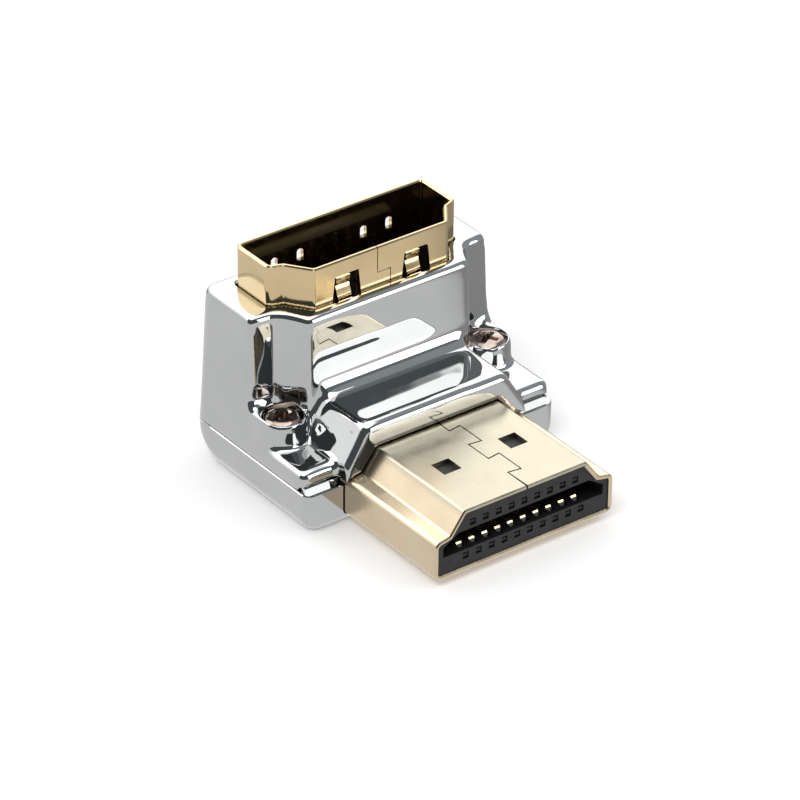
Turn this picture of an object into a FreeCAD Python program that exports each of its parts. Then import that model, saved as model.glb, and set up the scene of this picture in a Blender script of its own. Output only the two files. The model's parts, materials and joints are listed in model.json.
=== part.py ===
import FreeCAD, Part
import os
import re
import Sketcher

# Right angle adapter: a flat nineteen-contact plug at the front and the matching upright socket
# behind it, joined inside a plated two-part housing. The plug points to -Y, the socket opens
# upwards, X runs across. The origin lies under the middle of the housing and plug, on the plane
# that the housing rests on.

SIZES = [
    # contacts
    ("pitch", 1.0),
    ("contact_width", 0.4),
    ("contact_sheet", 0.2),
    ("contact_gap", 0.03),
    ("contact_rise", 0.12),
    ("overcut", 0.1),
    ("tail_length", 1.6),
    ("foot_length", 1.1),
    # plug
    ("plug_front", -10.95),
    ("plug_floor", 0.5),
    ("plug_length", 11.9),
    ("plug_side", 2.45),
    ("shoulder_height", 2.75),
    ("waist_step", 1.1),
    ("waist_rise", 0.22),
    ("crown_step", 1.1),
    ("crown_rise", 1.55),
    ("shell_sheet", 0.3),
    ("shell_round", 0.5),
    ("crown_round", 0.3),
    ("hollow_round", 0.2),
    ("rim_bevel", 0.09),
    ("latch_offset", 2.6),
    ("latch_width", 1.34),
    ("latch_length", 1.4),
    ("latch_distance", 4.0),
    ("core_recess", 0.15),
    ("core_tail", 0.45),
    ("slot_margin", 0.7),
    ("slot_taper", 1.15),
    ("slot_skin", 0.55),
    ("slot_floor", 1.5),
    ("slot_height", 1.4),
    ("slot_depth", 5.6),
    ("port_size", 0.46),
    ("port_web", 0.35),
    ("port_skin", 0.21),
    ("port_depth", 1.2),
    ("plug_gap", 0.08),
    # seams where the rolled sheets of the two shells meet
    ("seam_width", 0.06),
    ("seam_near", 0.09),
    ("seam_tooth", 0.9),
    ("seam_flare", 0.14),
    ("seam_first", 1.95),
    ("seam_second", 3.9),
    ("seam_third", 5.95),
    ("seam_fourth", 7.9),
    ("socket_seam_left", 0.32),
    ("socket_seam_right", 0.7),
    ("socket_seam_drop", 1.8),
    # circuit board
    ("board_clear", 0.15),
    ("board_gap", 0.1),
    # socket
    ("socket_reach", 3.11),
    ("socket_side", 2.85),
    ("socket_depth", 5.6),
    ("socket_cheek", 3.6),
    ("socket_slope", 0.36),
    ("socket_step", 0.95),
    ("socket_taper", 1.2),
    ("socket_rise", 2.77),
    ("socket_sheet", 0.3),
    ("socket_round", 0.55),
    ("socket_gap", 0.05),
    ("window_margin", 2.5),
    ("window_width", 2.1),
    ("window_height", 2.4),
    ("window_top", 1.05),
    ("window_flare", 0.28),
    ("spring_width", 1.05),
    ("spring_knee", 0.5),
    ("spring_tip", 0.34),
    ("spring_rise", 1.4),
    ("spring_hook", 0.6),
    ("slit_margin", 3.87),
    ("slit_foot", 0.35),
    ("slit_width", 0.5),
    ("slit_round", 0.22),
    ("slit_spread", 1.0),
    ("slit_top", 1.83),
    ("slit_length", 5.0),
    ("base_height", 3.2),
    ("tongue_gap", 1.15),
    ("tongue_sheet", 1.0),
    ("tongue_drop", 2.4),
    ("tongue_offset", 2.5),
    # screws and their bosses
    ("screw_inset", 1.15),
    ("screw_reach", 1.34),
    ("screw_gap", 0.06),
    ("thread_gap", 0.03),
    ("head_radius", 1.27),
    ("head_height", 0.7),
    ("head_sink", 0.05),
    ("head_edge", 0.3),
    ("shank_radius", 0.7),
    ("pilot_room", 0.1),
    ("recess_width", 0.4),
    ("recess_length", 1.5),
    ("recess_depth", 0.45),
    ("boss_wall", 0.25),
    ("boss_margin", 0.14),
    ("boss_rise", 3.1),
    ("boss_edge", 0.1),
    # housing, both halves
    ("housing_corner", 1.2),
    ("seam_height", 2.8),
    ("seam_groove", 0.06),
    ("draft_angle", 1.6),
    ("wall", 0.92),
    ("rear_rim", 1.29),
    # lower half
    ("tray_setback", 0.5),
    ("tray_floor", 0.9),
    ("heel_margin", 0.2),
    ("tray_corner", 0.7),
    ("lip_height", 0.3),
    ("lip_inset", 0.3),
    ("lip_depth", 0.5),
    ("lip_gap", 0.05),
    # upper half
    ("plate_height", 12.25),
    ("plate_thickness", 1.0),
    ("plate_edge", 0.3),
    ("tower_nose", 1.17),
    ("tower_rim", 1.2),
    ("tower_edge", 0.35),
    ("notch_nose", 0.86),
    ("notch_rim", 1.05),
    ("notch_root", 0.7),
    ("shelf_reach", 2.95),
    ("shelf_roof", 1.7),
    ("shelf_cheek", 0.75),
    ("shelf_skirt", 0.1),
    ("shelf_edge", 0.5),
    ("shelf_cove", 1.3),
    ("wing_setback", 1.05),
    ("wing_rise", 1.35),
    ("wing_edge", 0.45),
    ("wing_cove", 0.6),
]
S = dict(SIZES)

# Sizes that follow from the ones above. A name here may be used wherever a size may.
DERIVED = {
    "plug_half": "(4.5 * pitch + plug_side)",
    "waist_half": "(plug_half - waist_step)",
    "crown_half": "(waist_half - crown_step)",
    "waist_height": "(shoulder_height + waist_rise)",
    "plug_height": "(slot_floor + slot_height + crown_rise)",
    "slot_half": "(plug_half - slot_margin)",
    "low_port": "(plug_floor + slot_floor - port_skin - port_size / 2)",
    "high_port": "(plug_floor + slot_floor + slot_height + port_skin + port_size / 2)",
    "plug_end": "(plug_front + plug_length)",
    "core_front": "(plug_front + core_recess)",
    "core_end": "(plug_end + core_tail)",
    "board_low": "(plug_floor + slot_floor + contact_rise)",
    "board_top": "(plug_floor + slot_floor + slot_height - contact_rise)",
    "board_front": "(core_end + board_clear)",
    "tail_end": "(board_front + tail_length)",
    "board_shoulder": "(notch_front + wall + board_gap)",
    "board_neck": "(tower_half - wall - board_gap)",
    "board_half": "(housing_half - wall - board_gap)",
    "board_rear": "(housing_rear - wall - board_gap)",
    "socket_half": "(4.5 * pitch + socket_side)",
    "socket_waist_half": "(socket_half - socket_step)",
    "socket_crown_half": "(socket_waist_half - socket_taper)",
    "socket_waist": "(socket_rear - socket_cheek - socket_slope)",
    "socket_front": "(plug_end + socket_reach)",
    "socket_rear": "(socket_front + socket_depth)",
    "socket_rim": "(plate_height + socket_rise)",
    "window_offset": "(socket_crown_half - window_margin)",
    "window_low": "(socket_rim - window_top - window_height)",
    "slit_offset": "(socket_half - slit_margin)",
    "tongue_half": "(socket_half - socket_sheet - tongue_gap)",
    "tongue_rear": "(socket_rear - tongue_offset + tongue_sheet / 2)",
    "tongue_front": "(tongue_rear - tongue_sheet)",
    "tongue_tip": "(socket_rim - tongue_drop)",
    "screw_offset": "(plug_half + screw_inset)",
    "screw_row": "(notch_front - screw_reach)",
    "seat_radius": "(head_radius + screw_gap)",
    "seat_height": "(boss_height - head_sink - head_height)",
    "shank_end": "(tray_floor / 2 + pilot_room)",
    "boss_radius": "(seat_radius + boss_wall)",
    "boss_height": "(seam_height + boss_rise)",
    "housing_half": "(screw_offset + boss_radius + boss_margin)",
    "housing_rear": "(socket_rear + rear_rim)",
    "tray_front": "(shelf_front + tray_setback)",
    "tray_heel": "(seam_height - heel_margin)",
    "tower_front": "(socket_front - tower_nose)",
    "tower_half": "(socket_crown_half + tower_rim)",
    "notch_front": "(socket_waist - notch_nose)",
    "notch_half": "(socket_waist_half + notch_rim)",
    "shelf_front": "(plug_end - shelf_reach)",
    "shelf_height": "(plug_floor + plug_height + shelf_roof)",
    "shelf_half": "(crown_half + shelf_cheek)",
    "shelf_foot": "(plug_half + shelf_skirt)",
    "wing_front": "(shelf_front + wing_setback)",
    "wing_height": "(seam_height + wing_rise)",
    "wall_foot": "(tower_front + (shelf_height + shelf_cove - seam_height) * tan(draft_angle))",
    "flank_angle": "atan((shelf_height - wing_height) / (shelf_foot - shelf_half))",
    "cove_run": "(wing_cove * tan(flank_angle / 2))",
    "edge_run": "(shelf_edge * tan(flank_angle / 2))",
    "flare_run": "(tower_half - tower_edge * 1.5 - shelf_half + edge_run)",
    "flare_round": "((flare_run ^ 2 + shelf_cove ^ 2) / (2 * flare_run))",
}

doc = FreeCAD.newDocument("right_angle_adapter")
sheet = doc.addObject("Spreadsheet::Sheet", "Sizes")
for row, (alias, value) in enumerate(SIZES, start=1):
    sheet.set("A%d" % row, alias)
    sheet.set("B%d" % row, str(value))
    sheet.setAlias("B%d" % row, alias)
doc.recompute()

NODES = []


def bound(text):
    """An expression with each derived size written out and each named size read from the sheet."""
    def read(match):
        name = match.group(0)
        if name in DERIVED:
            return bound(DERIVED[name])
        return "Sizes." + name if name in S else name
    return re.sub(r"[a-z_]{4,}", read, text)


def drive(item, prop, text):
    item.setExpression(prop, bound(text))


reader = doc.addObject("App::FeaturePython", "Reader")
reader.addProperty("App::PropertyFloat", "Reading")


def value_of(text):
    """The number that an expression gives."""
    drive(reader, "Reading", text)
    reader.recompute()
    return reader.Reading


def body_named(label):
    body = doc.addObject("PartDesign::Body", label)
    body.Label = label
    NODES.append(body)
    return body


def plane(body, role):
    for feature in body.Origin.OriginFeatures:
        if feature.Role == role:
            return feature
    raise ValueError(role)


def attached(body, name, role, offset):
    sketch = body.newObject("Sketcher::SketchObject", name)
    sketch.AttachmentSupport = [(plane(body, role), "")]
    sketch.MapMode = "FlatFace"
    if offset:
        drive(sketch, "AttachmentOffset.Base.z", offset)
    return sketch


def add_loop(sketch, points):
    """A closed outline whose corners are held by expressions, listed anticlockwise. A corner with a
    third entry starts an arc of that radius instead of a line; a leading minus makes it hollow."""
    first = sketch.GeometryCount
    count = len(points)
    spots = [FreeCAD.Vector(value_of(point[0]), value_of(point[1]), 0) for point in points]
    ends = []
    for k, point in enumerate(points):
        a, b = spots[k], spots[(k + 1) % count]
        if len(point) < 3:
            sketch.addGeometry(Part.LineSegment(a, b), False)
            ends.append((1, 2))
            continue
        hollow = point[2].startswith("-")
        radius = value_of(point[2].lstrip("-"))
        half = (b - a) / 2
        reach = max(radius ** 2 - half.Length ** 2, 0.0) ** 0.5
        turn = FreeCAD.Vector(half.y, -half.x, 0) if hollow else FreeCAD.Vector(-half.y, half.x, 0)
        centre = a + half + turn.normalize() * reach
        start, stop = (b, a) if hollow else (a, b)
        ring = Part.Circle(centre, FreeCAD.Vector(0, 0, 1), radius)
        sketch.addGeometry(Part.ArcOfCircle(ring, ring.parameter(start), ring.parameter(stop)), False)
        ends.append((2, 1) if hollow else (1, 2))
    for k in range(count):
        sketch.addConstraint(Sketcher.Constraint("Coincident", first + k, ends[k][1],
                                                 first + (k + 1) % count, ends[(k + 1) % count][0]))
    for k, point in enumerate(points):
        for kind, text, value in (("DistanceX", point[0], spots[k].x), ("DistanceY", point[1], spots[k].y)):
            number = sketch.addConstraint(Sketcher.Constraint(kind, first + k, ends[k][0], value))
            drive(sketch, "Constraints[%d]" % number, text)
        if len(point) > 2:
            radius = point[2].lstrip("-")
            number = sketch.addConstraint(Sketcher.Constraint("Radius", first + k, value_of(radius)))
            drive(sketch, "Constraints[%d]" % number, radius)


def profile(body, name, role, points, offset=None):
    sketch = attached(body, name, role, offset)
    add_loop(sketch, points)
    return sketch


def both_sides(half):
    """The full outline from the points of its right half, listed from bottom to top."""
    full = list(half)
    for k in reversed(range(len(half))):
        arc = half[k - 1][2:] if k else ()
        full.append(("-(%s)" % half[k][0], half[k][1]) + tuple(arc))
    return full


def block(left, right, low, high):
    return [(left, low), (right, low), (right, high), (left, high)]


def circle(body, name, role, spots, radius, offset=None):
    sketch = attached(body, name, role, offset)
    for across, up in spots:
        centre = FreeCAD.Vector(value_of(across), value_of(up), 0)
        ring = Part.Circle(centre, FreeCAD.Vector(0, 0, 1), value_of(radius))
        k = sketch.addGeometry(ring, False)
        for kind, text in (("DistanceX", across), ("DistanceY", up)):
            number = sketch.addConstraint(Sketcher.Constraint(kind, k, 3, value_of(text)))
            drive(sketch, "Constraints[%d]" % number, text)
        number = sketch.addConstraint(Sketcher.Constraint("Radius", k, value_of(radius)))
        drive(sketch, "Constraints[%d]" % number, radius)
    return sketch


def volume_of(body):
    doc.recompute()
    return body.Shape.Volume if not body.Shape.isNull() else 0.0


def pad(body, name, sketch, length, symmetric=False):
    before = volume_of(body)
    feature = body.newObject("PartDesign::Pad", name)
    feature.Profile = sketch
    drive(feature, "Length", length)
    if symmetric:
        feature.SideType = "Symmetric"
    if volume_of(body) <= before:
        raise ValueError("%s adds nothing" % name)
    return feature


def pocket(body, name, sketch, length, towards_normal=False, symmetric=False):
    before = volume_of(body)
    feature = body.newObject("PartDesign::Pocket", name)
    feature.Profile = sketch
    drive(feature, "Length", length)
    feature.Reversed = towards_normal
    if symmetric:
        feature.SideType = "Symmetric"
    if volume_of(body) >= before:
        raise ValueError("%s cuts nothing" % name)
    return feature


def along_x(body, name, feature, count, step):
    """Copies of a feature in a row along X."""
    before = volume_of(body)
    pattern = body.newObject("PartDesign::LinearPattern", name)
    pattern.Originals = [feature]
    pattern.Direction = (plane(body, "X_Axis"), [""])
    pattern.Mode = "Spacing"
    drive(pattern, "Offset", step)
    pattern.Occurrences = count
    body.Tip = pattern
    if volume_of(body) == before:
        raise ValueError("%s changes nothing" % name)
    return pattern


def mirrored(body, name, features):
    pattern = body.newObject("PartDesign::Mirrored", name)
    pattern.Originals = features
    pattern.MirrorPlane = (plane(body, "YZ_Plane"), [""])
    body.Tip = pattern
    doc.recompute()
    return pattern


def edges(body, wanted):
    shape = body.Tip.Shape
    return ["Edge%d" % (k + 1) for k, edge in enumerate(shape.Edges) if wanted(edge)]


def rounded(body, name, radius, wanted, kind="Fillet"):
    doc.recompute()
    names = edges(body, wanted)
    if not names:
        raise ValueError("%s finds no edge" % name)
    base = body.Tip
    feature = body.newObject("PartDesign::" + kind, name)
    feature.Base = (base, names)
    feature.Refine = False
    drive(feature, "Radius" if kind == "Fillet" else "Size", radius)
    doc.recompute()
    if feature.Shape.isNull() or not feature.Shape.isValid():
        raise ValueError("%s fails" % name)
    return feature


def drafted(body, name, angle, foot_height):
    """Leans every side face in from the foot of the solid."""
    before = volume_of(body)
    base = body.Tip
    sides = []
    foot = None
    for k, face in enumerate(base.Shape.Faces):
        normal = face.normalAt(0, 0)
        if abs(normal.z) < 0.01:
            sides.append("Face%d" % (k + 1))
        elif near(face.CenterOfMass.z, foot_height):
            foot = "Face%d" % (k + 1)
    feature = body.newObject("PartDesign::Draft", name)
    feature.Base = (base, sides)
    feature.NeutralPlane = (base, [foot])
    drive(feature, "Angle", angle)
    if volume_of(body) >= before:
        raise ValueError("%s leans outwards" % name)
    return feature


def near(a, b, reach=0.02):
    return abs(a - b) < reach


def middle(edge):
    return edge.valueAt((edge.FirstParameter + edge.LastParameter) / 2)


def extent(edge, axis):
    box = edge.BoundBox
    return (box.XLength, box.YLength, box.ZLength)[axis]


def runs_along(edge, axis):
    return extent(edge, axis) > 0.01 and all(extent(edge, k) < 0.001 for k in range(3) if k != axis)


def from_corners(sketch, numbers):
    """Picks the edges that stand on the sketch's corners of these numbers."""
    spots = [sketch.Placement.multVec(sketch.Geometry[k].StartPoint) for k in numbers]
    normal = sketch.Placement.Rotation.multVec(FreeCAD.Vector(0, 0, 1))

    def wanted(edge):
        ends = [vertex.Point for vertex in edge.Vertexes]
        if len(ends) < 2 or abs((ends[1] - ends[0]).dot(normal)) < 0.9 * (ends[1] - ends[0]).Length:
            return False
        return any((end - spot).cross(normal).Length < 0.01 for end in ends for spot in spots)
    return wanted


# How far each corner of an outline moves for each millimetre that the outline is set in, from the
# angles of its two sides.
SHOULDER_DROP = 0.82
WAIST_SHIFT = 0.57
WAIST_DROP = 0.91
CROWN_SHIFT = 0.5
STEP_SHIFT = 0.63
STEP_DROP = 0.83
CHEEK_DROP = 0.68


# Outline of the plug's shell, seen from the front, set in by a distance. The wide side lies at
# the bottom; the shoulders step in to the narrow crown.
def plug_outline(inset, low=None):
    return both_sides([
        ("plug_half - (%s)" % inset, "plug_floor + (%s)" % (low or inset)),
        ("plug_half - (%s)" % inset, "plug_floor + shoulder_height - (%s) * %s" % (inset, SHOULDER_DROP)),
        ("waist_half - (%s) * %s" % (inset, WAIST_SHIFT),
         "plug_floor + waist_height - (%s) * %s" % (inset, WAIST_DROP)),
        ("crown_half - (%s) * %s" % (inset, CROWN_SHIFT), "plug_floor + plug_height - (%s)" % inset),
    ])


# Outline of the socket's shell, seen from above. The wide side faces the rear.
def socket_outline(inset):
    return both_sides([
        ("socket_crown_half - (%s) * %s" % (inset, CROWN_SHIFT), "socket_front + (%s)" % inset),
        ("socket_waist_half - (%s) * %s" % (inset, STEP_SHIFT),
         "socket_waist + (%s) * %s" % (inset, STEP_DROP)),
        ("socket_half - (%s)" % inset, "socket_rear - socket_cheek + (%s) * %s" % (inset, CHEEK_DROP)),
        ("socket_half - (%s)" % inset, "socket_rear - (%s)" % inset),
    ])


def mirror_block(inner, outer, low, high):
    """Two rectangles, one each side of the middle."""
    return [block(inner, outer, low, high), block("-(%s)" % outer, "-(%s)" % inner, low, high)]


HALF = value_of("housing_half")
REAR = value_of("housing_rear")
SEAM = value_of("seam_height")
TRAY_FRONT = value_of("tray_front")
SHELF_FRONT = value_of("shelf_front")
WING_FRONT = value_of("wing_front")
WING_HEIGHT = value_of("wing_height")
BOSS_HEIGHT = value_of("boss_height")
SCREWS = [("screw_offset", "screw_row"), ("-screw_offset", "screw_row")]

# Lower half of the housing: a shallow cast tray whose heel curves up at the rear. The plug lies
# in a cradle at its front, the board on ledges round its well.
tray = body_named("lower_shell")
outline = profile(tray, "tray_outline", "XY_Plane",
                  block("-housing_half", "housing_half", "tray_front", "housing_rear"))
pad(tray, "tray_body", outline, "seam_height")
rounded(tray, "tray_heel_round", "tray_heel",
        lambda e: runs_along(e, 0) and near(middle(e).y, REAR) and near(middle(e).z, 0))
rounded(tray, "tray_side_edges", "housing_corner",
        lambda e: near(abs(middle(e).x), HALF) and extent(e, 0) < 0.01 and middle(e).z < SEAM - 0.01
        and middle(e).y > TRAY_FRONT + 0.01)
rounded(tray, "tray_front_edges", "tray_corner",
        lambda e: near(middle(e).y, TRAY_FRONT) and extent(e, 1) < 0.01 and middle(e).z < SEAM - 0.01)
rounded(tray, "tray_seam_edge", "seam_groove",
        lambda e: near(middle(e).z, SEAM, 0.001) and extent(e, 2) < 0.001, "Chamfer")
lip = attached(tray, "lip_outline", "XY_Plane", "seam_height")
for side in mirror_block("plug_half + plug_gap", "housing_half - lip_inset", "wing_front",
                         "wing_front + lip_depth"):
    add_loop(lip, side)
pad(tray, "lip_body", lip, "lip_height")
well = profile(tray, "well_outline", "XY_Plane",
               both_sides([("board_neck + board_gap", "plug_end"),
                           ("board_neck + board_gap", "board_shoulder - board_gap"),
                           ("board_half - wall", "board_shoulder - board_gap"),
                           ("board_half - wall", "board_rear - wall")]), "seam_height")
pocket(tray, "well", well, "seam_height - tray_floor")
ledge = profile(tray, "ledge_outline", "XY_Plane",
                block("-(board_half + board_gap)", "board_half + board_gap",
                      "board_shoulder - board_gap", "board_rear + board_gap"), "seam_height")
pocket(tray, "ledge", ledge, "seam_height - board_low")
cradle = profile(tray, "cradle_outline", "XZ_Plane",
                 block("-(plug_half + plug_gap)", "plug_half + plug_gap", "plug_floor",
                       "seam_height + lip_height"), "-tray_front")
pocket(tray, "cradle", cradle, "core_end + plug_gap - tray_front")
rounded(tray, "cradle_rounds", "shell_round", from_corners(cradle, (0, 1)))
pilots = circle(tray, "pilot_circles", "XY_Plane", SCREWS, "shank_radius + thread_gap", "seam_height")
pocket(tray, "pilots", pilots, "seam_height - tray_floor / 2")

# Upper half of the housing: a drafted tower round the socket, notched at its front corners for
# the screws, and a low shelf with a wing at each side that bridges the plug.
cover = body_named("upper_shell")
tower = profile(cover, "tower_outline", "XY_Plane",
                both_sides([("tower_half", "tower_front"), ("notch_half", "notch_front"),
                            ("housing_half", "notch_front"), ("housing_half", "housing_rear")]),
                "seam_height")
pad(cover, "tower_body", tower, "plate_height - seam_height")
rounded(cover, "tower_rear_corners", "housing_corner", from_corners(tower, (3, 4)))
rounded(cover, "tower_notch_roots", "notch_root", from_corners(tower, (1, 6)))
rounded(cover, "tower_front_edges", "tower_edge", from_corners(tower, (0, 2, 5, 7)))
drafted(cover, "tower_draft", "draft_angle", SEAM)
flank = [("shelf_half + edge_run * cos(flank_angle)", "shelf_height - edge_run * sin(flank_angle)",
          "shelf_edge"),
         ("shelf_half - edge_run", "shelf_height")]
wings = profile(cover, "wing_outline", "XZ_Plane",
                both_sides([("housing_half", "seam_height"),
                            ("housing_half", "wing_height - wing_edge", "wing_edge"),
                            ("housing_half - wing_edge", "wing_height"),
                            ("shelf_foot + cove_run", "wing_height", "-wing_cove"),
                            ("shelf_foot - cove_run * cos(flank_angle)",
                             "wing_height + cove_run * sin(flank_angle)")] + flank),
                "-(notch_front + wall)")
pad(cover, "wing_body", wings, "notch_front + wall - wing_front")
rounded(cover, "wing_front_edges", "wing_edge",
        lambda e: near(middle(e).y, WING_FRONT) and extent(e, 1) < 0.01 and middle(e).z > SEAM + 0.01)
brow = profile(cover, "brow_outline", "XZ_Plane",
               both_sides([("shelf_foot", "seam_height + lip_height + lip_gap"),
                           ("shelf_foot", "wing_height")] + flank), "-(wing_front + wall)")
pad(cover, "brow_body", brow, "wing_front + wall - shelf_front")
# The cove where the shelf's top sweeps up into the tower's front wall and flares out to its corners.
cove = profile(cover, "cove_plan", "XY_Plane",
               both_sides([("shelf_half - edge_run", "wall_foot - shelf_cove", "-flare_round"),
                           ("shelf_half - edge_run + flare_run", "wall_foot"),
                           ("shelf_half - edge_run + flare_run", "wall_foot + wall / 2")]), "wing_height")
pad(cover, "cove_body", cove, "shelf_height + shelf_cove - wing_height")
sweep = profile(cover, "cove_sweep", "YZ_Plane", [
    ("wall_foot - shelf_cove - overcut", "shelf_height"),
    ("wall_foot - shelf_cove", "shelf_height", "shelf_cove"),
    ("wall_foot", "shelf_height + shelf_cove"),
    ("wall_foot", "shelf_height + shelf_cove + overcut"),
    ("wall_foot - shelf_cove - overcut", "shelf_height + shelf_cove + overcut"),
])
pocket(cover, "cove_cut", sweep, "tower_half * 2", symmetric=True)
rounded(cover, "shelf_front_edge", "shelf_edge",
        lambda e: near(middle(e).y, SHELF_FRONT) and extent(e, 1) < 0.01
        and middle(e).z > WING_HEIGHT + 0.01)
stems = attached(cover, "boss_stems", "XY_Plane", "seam_height")
for side in mirror_block("screw_offset - boss_radius", "screw_offset + boss_radius", "screw_row",
                         "notch_front + wall"):
    add_loop(stems, side)
pad(cover, "boss_stem_body", stems, "boss_height - seam_height")
drums = circle(cover, "boss_circles", "XY_Plane", SCREWS, "boss_radius", "seam_height")
pad(cover, "boss_drum_body", drums, "boss_height - seam_height")
rounded(cover, "boss_edges", "boss_edge",
        lambda e: near(middle(e).z, BOSS_HEIGHT) and extent(e, 2) < 0.001
        and "Circle" in e.Curve.TypeId and near(e.Curve.Radius, value_of("boss_radius")), "Chamfer")
rounded(cover, "plate_edges", "plate_edge",
        lambda e: near(middle(e).z, S["plate_height"]) and extent(e, 2) < 0.01)
room = profile(cover, "room_outline", "XY_Plane",
               both_sides([("tower_half - wall", "tower_front + wall"),
                           ("notch_half - wall / 2", "notch_front + wall"),
                           ("housing_half - wall", "notch_front + wall"),
                           ("housing_half - wall", "housing_rear - wall")]), "seam_height")
pocket(cover, "room", room, "plate_height - plate_thickness - seam_height", towards_normal=True)
arch = profile(cover, "arch_outline", "XZ_Plane", plug_outline("-plug_gap"), "-shelf_front")
pocket(cover, "arch", arch, "tower_front + wall - shelf_front + overcut")
mouth = profile(cover, "mouth_outline", "XY_Plane", socket_outline("-socket_gap"), "plate_height")
pocket(cover, "mouth", mouth, "plate_thickness + overcut")
rebate = profile(cover, "rebate_outline", "XY_Plane",
                 block("-housing_half", "housing_half", "shelf_front", "wing_front + lip_depth + lip_gap"),
                 "seam_height")
pocket(cover, "rebate", rebate, "lip_height + lip_gap", towards_normal=True)
seats = circle(cover, "seat_circles", "XY_Plane", SCREWS, "seat_radius", "plate_height")
pocket(cover, "seats", seats, "plate_height - seat_height")
bores = circle(cover, "bore_circles", "XY_Plane", SCREWS, "shank_radius + screw_gap", "boss_height")
pocket(cover, "bores", bores, "boss_height - seam_height")


# Screws: two alike with a bevelled head, a cross recess and a plain shank.
def screw(name, sign):
    body = doc.addObject("PartDesign::Body", name)
    head = circle(body, name + "_head_circle", "XY_Plane", [("0", "0")], "head_radius", "seat_height")
    pad(body, name + "_head", head, "head_height")
    top = value_of("seat_height + head_height")
    rounded(body, name + "_bevel", "head_edge", lambda e: near(middle(e).z, top), "Chamfer")
    shank = circle(body, name + "_shank_circle", "XY_Plane", [("0", "0")], "shank_radius", "shank_end")
    pad(body, name + "_shank", shank, "seat_height - shank_end")
    for turn, wide, deep in (("across", "recess_length / 2", "recess_width / 2"),
                             ("along", "recess_width / 2", "recess_length / 2")):
        slot = profile(body, name + "_slot_" + turn, "XY_Plane",
                       block("-" + wide, wide, "-" + deep, deep), "seat_height + head_height")
        pocket(body, name + "_recess_" + turn, slot, "recess_depth")
    drive(body, "Placement.Base.x", sign + "screw_offset")
    drive(body, "Placement.Base.y", "screw_row")
    return body


pair = doc.addObject("Part::Compound", "housing_screws")
pair.Label = "housing_screws"
pair.Links = [screw("right_screw", ""), screw("left_screw", "-")]
NODES.append(pair)

# Plug shell: a tube of thin plated sheet with two latch holes in its crown, where a dovetailed
# seam joins the two ends of the sheet.
shell = body_named("plug_shell")
outer = profile(shell, "shell_outline", "XZ_Plane", plug_outline("0"), "-plug_end")
pad(shell, "shell_body", outer, "plug_length")
rounded(shell, "shell_rounds", "shell_round", from_corners(outer, (0, 1, 6, 7)))
rounded(shell, "crown_rounds", "crown_round", from_corners(outer, (2, 3, 4, 5)))
inner = profile(shell, "hollow_outline", "XZ_Plane", plug_outline("shell_sheet"), "-plug_front")
pocket(shell, "hollow", inner, "plug_length")
rounded(shell, "hollow_rounds", "hollow_round", from_corners(inner, range(8)))
rounded(shell, "plug_rim_bevels", "rim_bevel",
        lambda e: near(middle(e).y, S["plug_front"]) and extent(e, 1) < 0.001, "Chamfer")
latch = attached(shell, "latch_outline", "XY_Plane", "plug_floor + plug_height")
for side in mirror_block("latch_offset - latch_width / 2", "latch_offset + latch_width / 2",
                         "plug_front + latch_distance", "plug_front + latch_distance + latch_length"):
    add_loop(latch, side)
pocket(shell, "latch_holes", latch, "shell_sheet * 1.5")
tooth = "seam_near + seam_tooth"
path = [("seam_near", "plug_front - overcut", ""),
        ("seam_near", "plug_front + seam_first", "+"),
        (tooth, "plug_front + seam_first - seam_flare", "+"),
        (tooth, "plug_front + seam_second + seam_flare", "-"),
        ("seam_near", "plug_front + seam_second", "-"),
        ("seam_near", "plug_front + seam_third", "+"),
        (tooth, "plug_front + seam_third - seam_flare", "+"),
        (tooth, "plug_front + seam_fourth + seam_flare", "-"),
        ("seam_near", "plug_front + seam_fourth", "-"),
        ("seam_near", "plug_end + overcut", "")]


def bank(side):
    """One side of the seam's cut, half its width from the middle of the path."""
    points = []
    for across, along, bend in path:
        if bend:
            along += " %s seam_width / 2" % ("-" if side == bend else "+")
        points.append(("%s %s seam_width / 2" % (across, side), along))
    return points


seam = profile(shell, "seam_outline", "XY_Plane", bank("+") + list(reversed(bank("-"))),
               "plug_floor + plug_height")
pocket(shell, "seam", seam, "shell_sheet * 1.5")

# Plug core: the moulded body inside the shell, with the slot that takes the tongue, and a square
# port at the front and a channel behind it for each contact.
core = body_named("plug_insulator")
form = profile(core, "core_outline", "XZ_Plane",
               plug_outline("shell_sheet + contact_gap", "shell_sheet"), "-core_end")
pad(core, "core_body", form, "core_end - core_front")
rounded(core, "core_rounds", "hollow_round", from_corners(form, range(8)))
slot = profile(core, "slot_outline", "XZ_Plane",
               both_sides([("slot_half", "plug_floor + slot_floor"),
                           ("slot_half", "plug_floor + shoulder_height - slot_skin"),
                           ("slot_half - slot_taper", "plug_floor + slot_floor + slot_height")]),
               "-core_front")
pocket(core, "slot", slot, "slot_depth")
low_groove = profile(core, "low_groove", "YZ_Plane", [
    ("core_front - overcut", "low_port - port_size / 2"),
    ("core_front + port_depth", "low_port - port_size / 2"),
    ("core_front + port_depth", "board_low - contact_sheet - contact_gap"),
    ("core_end + overcut", "board_low - contact_sheet - contact_gap"),
    ("core_end + overcut", "board_low + contact_gap"),
    ("core_front + port_web", "board_low + contact_gap"),
    ("core_front + port_web", "low_port + port_size / 2"),
    ("core_front - overcut", "low_port + port_size / 2"),
], "-4.5 * pitch")
first = pocket(core, "low_channel", low_groove, "port_size", symmetric=True)
along_x(core, "low_channels", first, 10, "pitch")
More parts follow.
